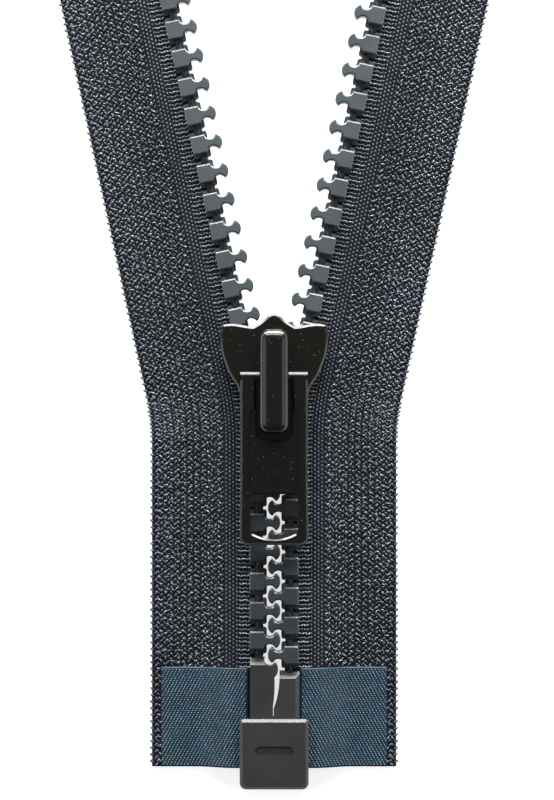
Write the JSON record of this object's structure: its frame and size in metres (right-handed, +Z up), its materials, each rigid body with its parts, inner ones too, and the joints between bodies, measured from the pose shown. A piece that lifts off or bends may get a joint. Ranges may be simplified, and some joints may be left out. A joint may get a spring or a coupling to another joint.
{
  "type": "zipper",
  "caption": "Separating moulded-tooth zipper with a locking slider, half closed and lying flat.",
  "frame": {"origin": "middle of the length and width, on the surface that the zipper lies on", "axes": "+Y along the chain from the retainer box to the open legs, +Z up from the table, +X to the right"},
  "size_m": [0.0628, 0.1222, 0.0078],
  "materials": {
    "tape": "woven and knitted polyester, slight sheen",
    "cord": "twisted polyester",
    "film": "laminated film with a diagonal twill",
    "teeth": "satin moulded acetal",
    "end_parts": "matte moulded acetal",
    "slider": "gloss black enamel on die-cast zinc",
    "spring": "spring steel"
  },
  "bodies": {
    "root": {"retainer_box": "end_parts", "retainer_pin": "end_parts", "insertion_pin": "end_parts", "left_reinforcement_film": "film", "right_reinforcement_film": "film", "left_tape_base": "tape", "right_tape_base": "tape", "left_core_cord_base": "cord", "right_core_cord_base": "cord"},
    "slider": {"slider_body": "slider", "crown_cover": "slider"},
    "pull_tab": {"pull_tab": "slider"},
    "lock_pawl": {"lock_pawl": "spring"},
    "left_lower": {"left_tape_lower": "tape", "left_core_cord_lower": "cord", "left_teeth_lower": "teeth"},
    "left_upper": {"left_tape_upper": "tape", "left_core_cord_upper": "cord", "left_teeth_upper": "teeth", "left_top_stop": "teeth"},
    "right_lower": {"right_tape_lower": "tape", "right_core_cord_lower": "cord", "right_teeth_lower": "teeth"},
    "right_upper": {"right_tape_upper": "tape", "right_core_cord_upper": "cord", "right_teeth_upper": "teeth", "right_top_stop": "teeth"}
  },
  "joints": [
    {"name": "slider_travel", "type": "slide", "parent": "root", "child": "slider", "axis": [0, 1, 0], "range_m": [-0.03195, 0], "deforming": ["left_tape_lower", "left_core_cord_lower", "left_teeth_lower", "left_tape_upper", "left_core_cord_upper", "left_teeth_upper", "right_tape_lower", "right_core_cord_lower", "right_teeth_lower", "right_tape_upper", "right_core_cord_upper", "right_teeth_upper"]},
    {"name": "pull_tab_swing", "type": "hinge", "parent": "slider", "child": "pull_tab", "pos_m": [0, -0.01139, 0.0054], "axis": [-1, 0, 0], "range_deg": [0, 170]},
    {"name": "lock_pawl_lift", "type": "hinge", "parent": "slider", "child": "lock_pawl", "pos_m": [0, -0.00759, 0.0063], "axis": [-1, 0, 0], "range_deg": [0, 5.1]},
    {"name": "left_spread", "type": "hinge", "parent": "root", "child": "left_lower", "pos_m": [-0.00186, -0.04744, 0.0022], "axis": [0, 0, 1], "range_deg": [0, 12.32]},
    {"name": "left_straighten", "type": "hinge", "parent": "left_lower", "child": "left_upper", "pos_m": [-0.00186, -0.01549, 0.0022], "axis": [0, 0, 1], "range_deg": [-12.32, 0]},
    {"name": "right_spread", "type": "hinge", "parent": "root", "child": "right_lower", "pos_m": [0.00186, -0.04744, 0.0022], "axis": [0, 0, 1], "range_deg": [-12.32, 0]},
    {"name": "right_straighten", "type": "hinge", "parent": "right_lower", "child": "right_upper", "pos_m": [0.00186, -0.01549, 0.0022], "axis": [0, 0, 1], "range_deg": [0, 12.32]}
  ],
  "couplings": [
    {"joint": "lock_pawl_lift", "follows": "pull_tab_swing", "ratio": 0.029},
    {"joint": "left_spread", "follows": "slider_travel", "rad_per_m": -6.7191},
    {"joint": "left_straighten", "follows": "slider_travel", "rad_per_m": 6.7191},
    {"joint": "right_spread", "follows": "slider_travel", "rad_per_m": 6.7191},
    {"joint": "right_straighten", "follows": "slider_travel", "rad_per_m": -6.7191}
  ]
}
